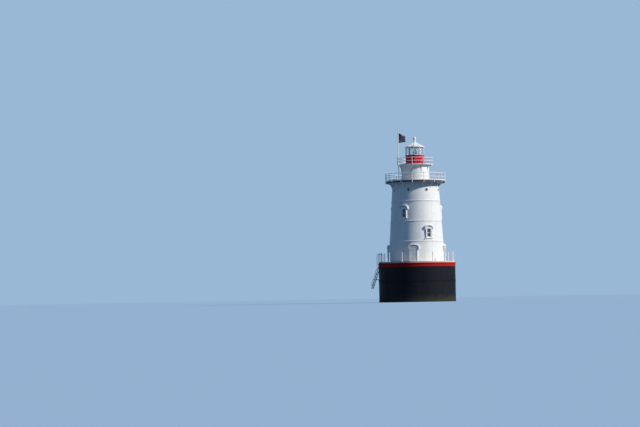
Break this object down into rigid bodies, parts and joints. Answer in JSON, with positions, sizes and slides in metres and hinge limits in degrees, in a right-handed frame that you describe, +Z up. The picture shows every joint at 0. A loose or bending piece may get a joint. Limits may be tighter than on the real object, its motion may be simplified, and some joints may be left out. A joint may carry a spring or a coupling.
{
  "type": "caisson lighthouse",
  "caption": "White conical iron lighthouse tower with galleries, a red lantern and a flagpole, on a black cylindrical caisson with a boat ladder.",
  "frame": {"origin": "middle of the caisson's foot, on the ground", "axes": "+Z up along the tower's axis; the front door faces -Y"},
  "size_m": [9.8403, 9.2678, 20.69],
  "materials": {
    "concrete": "rough cast concrete",
    "caisson_black": "black paint, weathered",
    "rim_red": "red paint, satin",
    "wall_white": "white paint, weathered satin",
    "floor_iron": "grey painted iron",
    "trim_white": "white paint, satin",
    "door_white": "white paint, satin",
    "window_glass": "clear",
    "sash_white": "white paint",
    "deck_iron": "dark grey paint, worn",
    "rail_white": "white paint, gloss",
    "lantern_red": "red paint, satin",
    "roof_white": "white paint, satin",
    "lens_glass": "moulded lens",
    "flag_cloth": "woven bunting",
    "ladder_black": "black paint, worn",
    "hinge_black": "black paint"
  },
  "bodies": {
    "tower": {"caisson_core": "concrete", "caisson_lower_plates": "caisson_black", "caisson_upper_plates": "caisson_black", "caisson_rim": "rim_red", "caisson_deck": "concrete", "deck_stanchions": "rail_white", "course_1_door_plates": "wall_white", "course_1_lintels": "wall_white", "course_1_window_plates": "wall_white", "course_1_plain_plates": "wall_white", "course_2_window_plates": "wall_white", "course_2_plain_plates": "wall_white", "course_3_plates_a": "wall_white", "course_3_plates_b": "wall_white", "course_4_plates_a": "wall_white", "course_4_plates_b": "wall_white", "course_bands": "trim_white", "storey_floors": "floor_iron", "door_surrounds": "trim_white", "window_surrounds": "trim_white", "door_hoods": "trim_white", "window_hoods": "trim_white", "window_sills": "trim_white", "window_aprons": "trim_white", "window_sashes": "sash_white", "window_glass": "window_glass", "door_thresholds": "trim_white", "door_pintles": "hinge_black", "porthole_frames": "trim_white", "porthole_glass": "window_glass", "main_gallery_deck": "deck_iron", "main_gallery_brackets": "trim_white", "main_gallery_rails_a": "rail_white", "main_gallery_rails_b": "rail_white", "watch_room_plates_a": "wall_white", "watch_room_plates_b": "wall_white", "watch_room_casing": "trim_white", "watch_room_door": "door_white", "lantern_gallery_deck": "trim_white", "lantern_gallery_brackets": "trim_white", "lantern_gallery_rails_a": "rail_white", "lantern_gallery_rails_b": "rail_white", "lantern_parapet_a": "lantern_red", "lantern_parapet_b": "lantern_red", "lantern_mullions": "roof_white", "lantern_glass": "window_glass", "lantern_roof": "roof_white", "ventilator": "roof_white", "beacon": "lens_glass", "boat_ladder": "ladder_black", "ladder_handrails": "ladder_black", "flagpole": "rail_white", "flag": "flag_cloth", "flag_clips": "rail_white"},
    "front_door": {"front_door": "door_white"},
    "back_door": {"back_door": "door_white"}
  },
  "joints": [
    {"name": "front_door_hinge", "type": "hinge", "parent": "tower", "child": "front_door", "pos_m": [-0.35, -3.462, 5.7], "axis": [0, 0, -1], "range_deg": [0, 110]},
    {"name": "back_door_hinge", "type": "hinge", "parent": "tower", "child": "back_door", "pos_m": [0.35, 3.462, 5.7], "axis": [0, 0, -1], "range_deg": [0, 110]}
  ]
}
